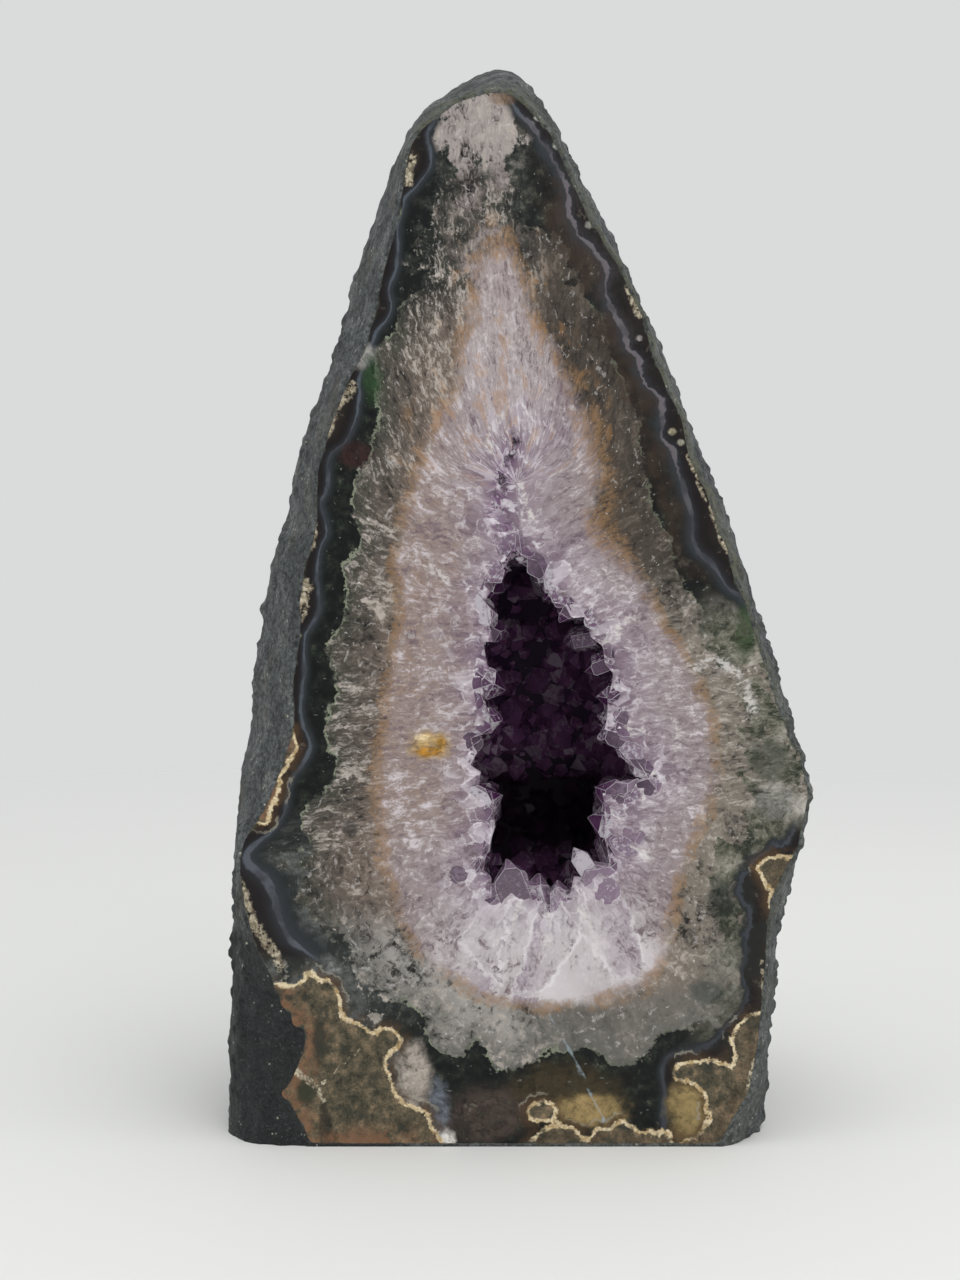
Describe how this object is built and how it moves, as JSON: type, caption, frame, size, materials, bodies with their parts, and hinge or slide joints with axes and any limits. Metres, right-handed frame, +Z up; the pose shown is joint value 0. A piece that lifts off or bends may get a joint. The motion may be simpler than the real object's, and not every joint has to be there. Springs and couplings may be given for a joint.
{
  "type": "amethyst cathedral geode",
  "caption": "Standing amethyst geode: tall basalt-skinned half with a flat polished face, a sawn foot and a crystal-lined hollow.",
  "frame": {"origin": "middle of the geode's box, on the plane of the sawn foot", "axes": "+Z up along the height, which is the longest side; the polished face looks along -Y; +X is to the right of that face"},
  "size_m": [0.1452, 0.1158, 0.2606],
  "materials": {
    "banded_stone": "dark slate-grey lumpy basalt rind; in front a polished cut through rind, thin agate bands, dark green chalcedony and grey to lavender quartz, with ochre iron lines and cream-edged basalt inclusions",
    "amethyst": "glossy natural quartz points, clear, deep purple in the hollow and pale lavender round its mouth"
  },
  "bodies": {
    "root": {"stone": "banded_stone", "crystal_crust": "amethyst"}
  },
  "joints": []
}
